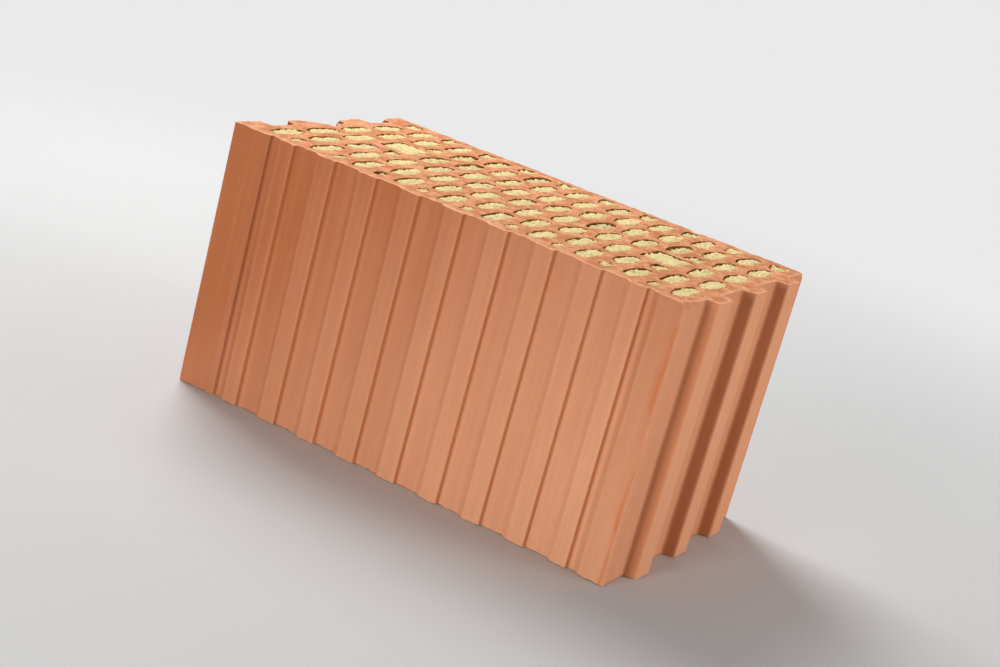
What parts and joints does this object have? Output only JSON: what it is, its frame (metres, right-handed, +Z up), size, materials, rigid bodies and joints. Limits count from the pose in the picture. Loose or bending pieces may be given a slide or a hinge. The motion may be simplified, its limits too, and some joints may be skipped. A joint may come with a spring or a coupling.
{
  "type": "insulated clay block",
  "caption": "Clay wall block with upright cells full of straw-coloured insulation, a ribbed plaster face, and tongues and grooves that lock its ends to the next blocks.",
  "frame": {"origin": "in the plane of the lower bed face, under the middle of the whole block with its tongues", "axes": "+X along the wall from the grooved end to the tongued end, +Y through the wall from the ribbed face to the other long face, +Z up"},
  "size_m": [0.4514, 0.248, 0.238],
  "materials": {
    "clay": "fired unglazed clay, dry and matt, with extrusion streaks",
    "insulation": "rough, fibrous and matt"
  },
  "bodies": {
    "root": {"clay_body": "clay", "insulation_plugs": "insulation"}
  },
  "joints": []
}
